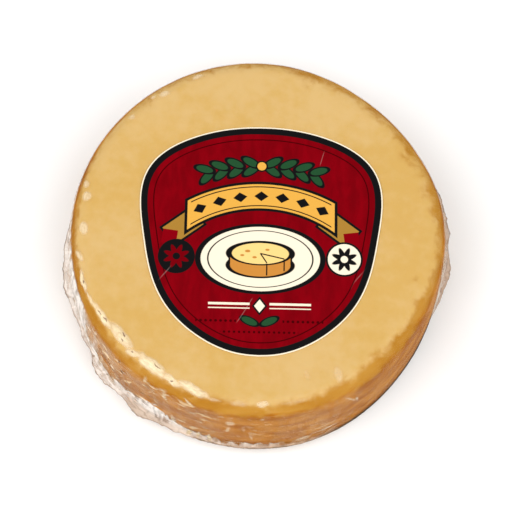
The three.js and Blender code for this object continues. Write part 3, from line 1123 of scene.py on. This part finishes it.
def film_profile(size):
    """The film's profile, with its rows close together about the seam."""
    seam_rows = SEAM_ROW + fin_section()[:, 0] * MM
    below = np.linspace(size.base_shoulder, seam_rows[0], 16)[1:-1]
    above = np.linspace(seam_rows[-1], size.height - size.top_shoulder, 30)[1:-1]
    flat = size.radius - size.top_shoulder
    inward = np.concatenate([np.linspace(0.4 * MM, 6 * MM, 16), np.linspace(8 * MM, flat, 9)])
    base = (0, 12 * MM, 24 * MM, 34 * MM, 40 * MM)
    return wheel_profile(size, np.concatenate([below, seam_rows, above]), 18, flat - inward, base)


def broad_crinkles(surface, height, film):
    """How far the broad crinkles stand out of the wall."""
    near = bump(wrapped(surface.angle - film.crinkle_at), film.crinkle_half_width)
    strength = film.crinkle_elsewhere + (film.crinkle - film.crinkle_elsewhere) * near
    climb = 2 * np.pi * height / CRINKLE_RISE
    waves = np.sin(CRINKLES_ROUND * np.radians(surface.angle) + climb) * np.sin(0.6 * climb)
    return strength * waves * np.sin(np.pi * np.clip(surface.up, 0, 1)) * surface.wall


def thin_creases(surface, flat, way):
    """How strongly the film is creased at each place, from 0 to about 1."""
    on_wall = smooth(-way, 1.2 * MM, 3.5 * MM) * (surface.height > 0.4 * MM)
    thin = creases(flat, (110, 110, 420), 0.2, 31.0) + 0.7 * creases(flat, (220, 220, 700), 0.22, 47.0)
    return thin * on_wall * round_the_wheel(CRINKLES, surface.angle)


def fin_shape(surface):
    """For each place, its share of the fin's reach, that reach, and how much it hangs free."""
    section = fin_section()
    offset = (surface.height - SEAM_ROW) / MM
    in_seam = (np.abs(offset) < SEAM_HALF_BAND / MM + 0.01) & surface.wall
    share = np.where(in_seam, np.interp(offset, section[:, 0], section[:, 1]), 0)
    ragged = 0.07 * noise_round(surface.angle, 40, 91.0) + 0.05 * noise_round(surface.angle, 95, 17.0)
    reach = round_the_wheel(FIN_REACHES, surface.angle) * MM * (1 + ragged)
    return share, reach, share**0.7 * np.clip(reach / (1.2 * MM), 0, 1)


def milky_film(angle, height, below_edge):
    """How milky the film is, in its loose veil low on the wall and in the mist above it."""
    scallops = 1.3 * noise_round(angle, 26, 73.0) + 0.8 * noise_round(angle, 60, 37.0)
    veil_top = (round_the_wheel(VEIL_HEIGHTS, angle) + scallops) * MM
    veil = round_the_wheel(VEIL_STRENGTHS, angle) * smooth(veil_top - height, -0.8 * MM, 0.8 * MM)
    mist = round_the_wheel(MIST_STRENGTHS, angle) * (0.6 + 0.7 * smooth(height, 7 * MM, 14 * MM))
    off_foot = smooth(height, 3.2 * MM, 4.4 * MM)
    return np.clip(np.maximum(veil, mist) * below_edge * off_foot, 0, 1)


class OBJECT_OT_gouda_film(bpy.types.Operator):
    """Draws the clear film over the cheese, with its creases, tucks, folds and loose fins"""

    bl_idname = "object.gouda_film"
    bl_label = "Wrap in Film"

    def execute(self, context):
        size, film = context.scene.gouda_round, context.scene.gouda_film
        head, foot = size.height - size.top_shoulder, size.base_shoulder
        profile = film_profile(size)
        wrap = spin_profile("shrink_film", profile, size.columns)
        surface = WheelSurface(wrap, profile, size)
        angle = surface.angle
        height = np.where(surface.wall, row_height(surface.height, angle, foot, head), surface.height)
        way = np.where(surface.wall, height - head - 0.25 * math.pi * size.top_shoulder, surface.rim)
        flat = surface.placed(height, 0.0)
        surface.up = np.where(surface.wall, (height - foot) / (head - foot), surface.up)

        tuck = tuck_amount(angle, way, size.radius)
        lift = film.crease * thin_creases(surface, flat, way) + film.tuck * tuck + edge_slump(surface, size)
        share, reach, flap = fin_shape(surface)
        outward = broad_crinkles(surface, height, film) + reach * share
        wave = 0.7 * noise_round(angle, 17, 57.0) + 0.4 * noise_round(angle, 45, 29.0)
        rise = film.ruffle * wave * flap + top_swell(flat, size) * smooth(surface.rim, 0, TOP_EDGE)
        placed = surface.placed(height, lift, outward, rise)
        placed[:, 2] = np.clip(placed[:, 2], 0, None)
        set_coordinates(wrap, placed)

        below_edge = smooth(-way, 1.0 * MM, 2.4 * MM)
        crinkled = round_the_wheel(CRINKLES, angle) * below_edge + 0.5 * flap
        # Where painted shade browns the film: the fins, and low on the wall
        low_down = smooth(height, 10 * MM, 6 * MM) * surface.wall
        shaded_parts = np.maximum(smooth(share, 0.0, 0.3), low_down)
        # The dark line along the foot is painted shade, reaching higher where it is darkest
        line_top = (4.4 + 0.7 * smooth(round_the_wheel(FOOT_SHADES, angle), 0.75, 1.0)) * MM
        facts = {
            "veil": milky_film(angle, height, below_edge),
            "flap": smooth(flap, 0.1, 0.7),
            "painted_foot_shade": foot_line(angle, placed[:, 2], line_top, 0.9 * MM, 0.0),
            "crinkled": np.clip(crinkled, 0, 1),
            "tuck": tuck,
            "weld": smooth(share, 0.86, 1.0) * np.clip(reach / (0.6 * MM), 0, 1),
            "shaded": round_the_wheel(SHADED_FILM, angle) * shaded_parts,
        }
        for name, values in facts.items():
            set_attribute(wrap, name, values)
        turn = np.radians(angle)
        sheet = np.column_stack([size.radius * np.cos(turn), size.radius * np.sin(turn), way])
        set_vector_attribute(wrap, "sheet", sheet)
        wrap.data.materials.append(film_material(context.scene.gouda_colours))
        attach(wrap, BODY)
        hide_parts("wrapped_round")
        return {"FINISHED"}


def sticker_outline(sticker):
    """Corners of the sticker's cut edge, about its own centre."""
    turn = np.arange(sticker.points) * 2 * np.pi / sticker.points
    power = 2 / sticker.squareness
    across = np.sign(np.cos(turn)) * np.abs(np.cos(turn)) ** power
    up = np.sign(np.sin(turn)) * np.abs(np.sin(turn)) ** power
    x = sticker.half_width * across * (1 + sticker.taper * up)
    arch = sticker.arch * bump(x, sticker.arch_half_width) * np.clip(up, 0, None)
    point = sticker.point * bump(x, sticker.point_half_width) * np.clip(-up, 0, None)
    return np.column_stack([x, sticker.half_height * up + arch - point])


def edge_distance(points, outline):
    """How far each point lies from the nearest side of the outline."""
    start = outline
    along = np.roll(outline, -1, axis=0) - outline
    squares = np.sum(along * along, axis=1)
    away = points[:, None, :2] - start[None]
    share = np.clip(np.sum(away * along, axis=2) / squares, 0, 1)
    return np.min(np.linalg.norm(away - share[..., None] * along, axis=2), axis=1)


def cut_sticker(sticker, outline):
    """The flat sticker: rings along its border, then smaller and smaller ones to its middle."""
    deselect_all()
    bpy.ops.mesh.primitive_circle_add(
        vertices=sticker.points, radius=sticker.half_width, fill_type="NGON", location=(0, 0, 0)
    )
    label = bpy.context.object
    label.name = label.data.name = "crest_label"
    order = np.argsort(np.arctan2(outline[:, 1], outline[:, 0]))
    corners = coordinates(label)
    placing = np.argsort(np.arctan2(corners[:, 1], corners[:, 0]))
    corners[placing, :2] = outline[order]
    set_coordinates(label, corners)
    bpy.ops.object.mode_set(mode="EDIT")
    bpy.ops.mesh.select_all(action="SELECT")
    for width in (sticker.edge, 0.5 * sticker.border, 0.5 * sticker.border, 1.2 * MM):
        bpy.ops.mesh.inset(thickness=width, use_even_offset=True)
    for share in (0.93, 0.92, 0.9, 0.88, 0.85, 0.82, 0.78, 0.72, 0.64, 0.5):
        bpy.ops.mesh.extrude_region_move()
        bpy.ops.transform.resize(value=(share, share, 1), center_override=(0, 0, 0))
    bpy.ops.mesh.poke()
    bpy.ops.object.mode_set(mode="OBJECT")
    return label


class OBJECT_OT_gouda_sticker(bpy.types.Operator):
    """Cuts the sticker to its crest shape and lays it on the film"""

    bl_idname = "object.gouda_sticker"
    bl_label = "Lay Sticker"

    def execute(self, context):
        size, sticker = context.scene.gouda_round, context.scene.gouda_sticker
        outline = sticker_outline(sticker)
        label = cut_sticker(sticker, outline)
        points = coordinates(label)
        away = edge_distance(points, outline)
        set_attribute(label, "edge", away)
        turned = points @ np.array(Matrix.Rotation(-sticker.turn, 3, "Z"))
        turned += np.array((*sticker.centre, 0))
        lifted = np.clip(noise_at(turned, (120, 120, 0), 83.0), 0, 1) * bump(away, 2 * MM)
        turned[:, 2] = size.height + 0.02 * MM + top_swell(turned, size) + 0.09 * MM * lifted
        set_coordinates(label, turned)
        solid = label.modifiers.new("paper", "SOLIDIFY")
        solid.thickness = sticker.thickness
        solid.offset = 1
        deselect_all()
        label.select_set(True)
        context.view_layer.objects.active = label
        bpy.ops.object.modifier_apply(modifier=solid.name)
        bpy.ops.object.shade_smooth_by_angle(angle=math.radians(40))
        label.data.materials.append(sticker_material(context.scene.gouda_colours, sticker))
        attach(label, BODY)
        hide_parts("label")
        return {"FINISHED"}


# --- the stage -----------------------------------------------------------------------------------------


def add_object(name, data):
    made = bpy.data.objects.new(name, data)
    bpy.context.scene.collection.objects.link(made)
    return made


def add_softbox(name, azimuth, elevation, distance, width, height, power, target):
    """An area light in a direction from the target, turned to face it."""
    turn, up = math.radians(azimuth), math.radians(elevation)
    away = Vector((math.cos(turn) * math.cos(up), math.sin(turn) * math.cos(up), math.sin(up)))
    light = bpy.data.lights.new(name, "AREA")
    light.shape = "RECTANGLE"
    light.size, light.size_y = width, height
    light.energy = power
    lamp = add_object(name, light)
    lamp.location = target + away * distance
    lamp.rotation_euler = (-away).to_track_quat("-Z", "Y").to_euler()


def add_camera(studio, middle):
    """The camera, high in front of the wheel, with a slight roll."""
    back = Vector((0, -math.cos(studio.elevation), math.sin(studio.elevation)))
    right = Vector((1, 0, 0))
    up = back.cross(right)
    turned_right = right * math.cos(studio.roll) + up * math.sin(studio.roll)
    turned_up = up * math.cos(studio.roll) - right * math.sin(studio.roll)
    data = bpy.data.cameras.new("camera")
    data.sensor_width = SENSOR_WIDTH
    data.lens = studio.pixels_per_metre * studio.distance * SENSOR_WIDTH / PICTURE
    data.shift_x = (PICTURE / 2 - studio.middle_column) / PICTURE
    data.shift_y = (studio.middle_row - PICTURE / 2) / PICTURE
    data.clip_start, data.clip_end = 0.01, 100
    camera = add_object("camera", data)
    place = middle + back * studio.distance
    axes = Matrix((turned_right, turned_up, back)).transposed().to_4x4()
    camera.matrix_world = Matrix.Translation(place) @ axes
    bpy.context.scene.camera = camera


def add_surround(studio):
    """A plain pale surround, brighter at the horizon than overhead."""
    world = bpy.data.worlds.new("surround")
    world.use_nodes = True
    board = Board(world.node_tree)
    height = board.split(board.add("ShaderNodeTexCoord").outputs["Generated"])["Z"]
    background = world.node_tree.nodes["Background"].inputs
    board.feed(background["Color"], (1, 1, 1))
    board.feed(background["Strength"], board.ramp(height, 0.0, 0.95, studio.sky_low, studio.sky_high))
    bpy.context.scene.world = world


class SCENE_OT_gouda_stage(bpy.types.Operator):
    """Lays the pale floor and sets the softboxes, the surround and the camera"""

    bl_idname = "scene.gouda_stage"
    bl_label = "Set Stage"

    def execute(self, context):
        scene, studio = context.scene, context.scene.gouda_studio
        middle = Vector((0, 0, 0.5 * scene.gouda_round.height))
        deselect_all()
        bpy.ops.mesh.primitive_grid_add(x_subdivisions=8, y_subdivisions=8, size=FLOOR_SIZE)
        floor = context.object
        floor.name = floor.data.name = "floor"
        floor.location.z = -0.05 * MM
        floor.data.materials.append(floor_material())
        add_softbox("key_left", *KEY_LEFT, studio.key_power, middle)
        add_softbox("fill_right", *FILL_RIGHT, studio.fill_power, middle)
        add_surround(studio)
        scene.view_settings.view_transform = "Standard"
        add_camera(studio, middle)
        return {"FINISHED"}


class VIEW3D_PT_gouda(bpy.types.Panel):
    """Lists the steps and their settings"""

    bl_label = "Smoked Gouda"
    bl_idname = "VIEW3D_PT_gouda"
    bl_space_type = "VIEW_3D"
    bl_region_type = "UI"
    bl_category = "Gouda"

    def draw(self, context):
        for operator in OPERATORS:
            self.layout.operator(operator.bl_idname)
        for name in SETTINGS:
            settings = getattr(context.scene, name)
            box = self.layout.box()
            for key in type(settings).__annotations__:
                box.prop(settings, key)


SETTINGS = {
    "gouda_round": RoundSettings,
    "gouda_film": FilmSettings,
    "gouda_sticker": StickerSettings,
    "gouda_colours": ColourSettings,
    "gouda_studio": StudioSettings,
}
OPERATORS = (
    SCENE_OT_gouda_stage,
    OBJECT_OT_gouda_cheese,
    OBJECT_OT_gouda_film,
    OBJECT_OT_gouda_sticker,
)
CLASSES = (*SETTINGS.values(), *OPERATORS, VIEW3D_PT_gouda)
GROUP_MAKERS = (
    make_mottle_group,
    make_streak_group,
    make_slit_group,
    make_hairline_group,
    make_oval_group,
    make_bar_group,
    make_ribbon_group,
    make_dots_group,
    make_ink_group,
)


def register():
    for kept in CLASSES:
        bpy.utils.register_class(kept)
    for name, settings in SETTINGS.items():
        setattr(bpy.types.Scene, name, PointerProperty(type=settings))


def unregister():
    for name in SETTINGS:
        delattr(bpy.types.Scene, name)
    for kept in reversed(CLASSES):
        bpy.utils.unregister_class(kept)


def main():
    register()
    for make_group in GROUP_MAKERS:
        make_group()
    bpy.ops.scene.gouda_stage()
    bpy.ops.object.gouda_cheese()
    bpy.ops.object.gouda_film()
    bpy.ops.object.gouda_sticker()


if __name__ == "__main__":
    main()
